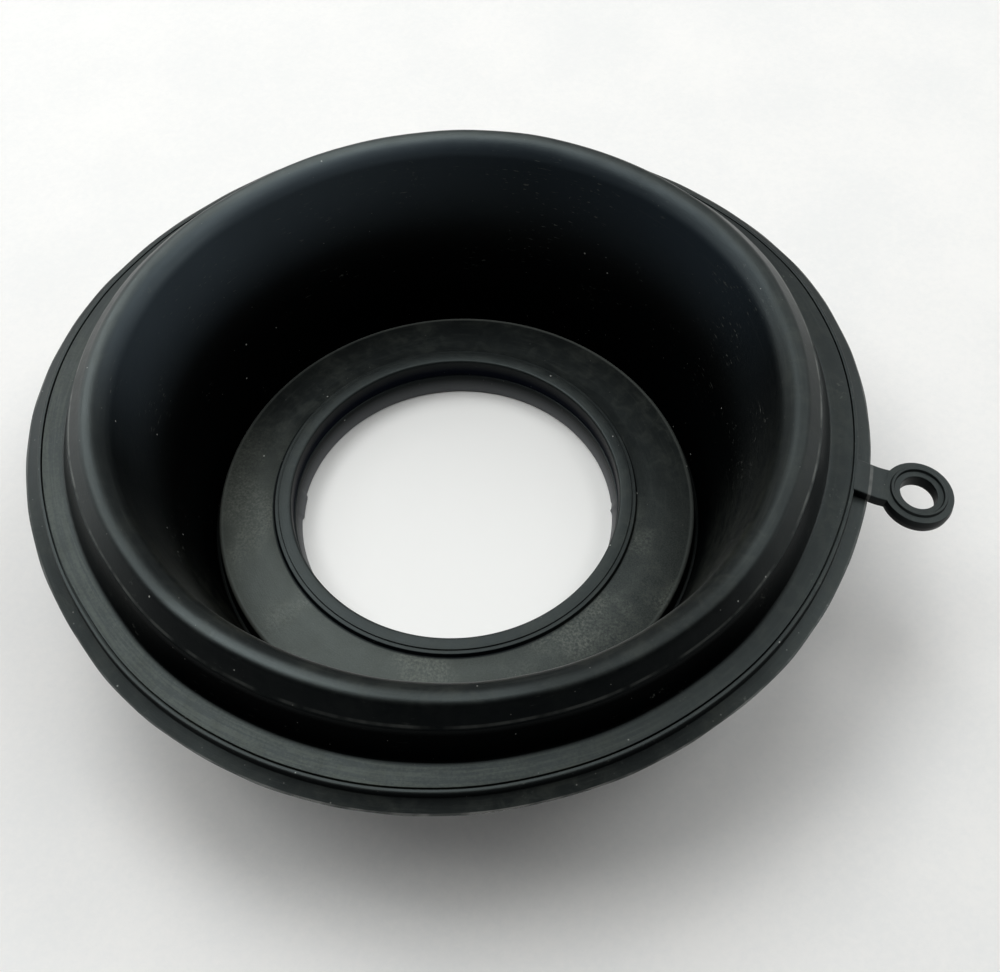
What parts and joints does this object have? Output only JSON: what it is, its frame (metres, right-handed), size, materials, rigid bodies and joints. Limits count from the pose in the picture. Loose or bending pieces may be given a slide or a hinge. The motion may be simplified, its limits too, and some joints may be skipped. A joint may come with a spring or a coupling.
{
  "type": "carburettor diaphragm",
  "caption": "Round black rubber vacuum diaphragm for a carburettor slide: deep rolled convolution, flat disc with a beaded centre hole, beaded flange and a small strap with a seal ring.",
  "frame": {"origin": "on the axis of the centre hole, level with the ledge inside it", "axes": "+Z along the hole's axis, from the bead's resting face to the open side of the convolution; +X towards the seal ring on its strap"},
  "size_m": [0.0968, 0.088, 0.0279],
  "materials": {
    "rubber": "satin moulded rubber, lightly dusty"
  },
  "bodies": {
    "root": {"diaphragm": "rubber"}
  },
  "joints": []
}
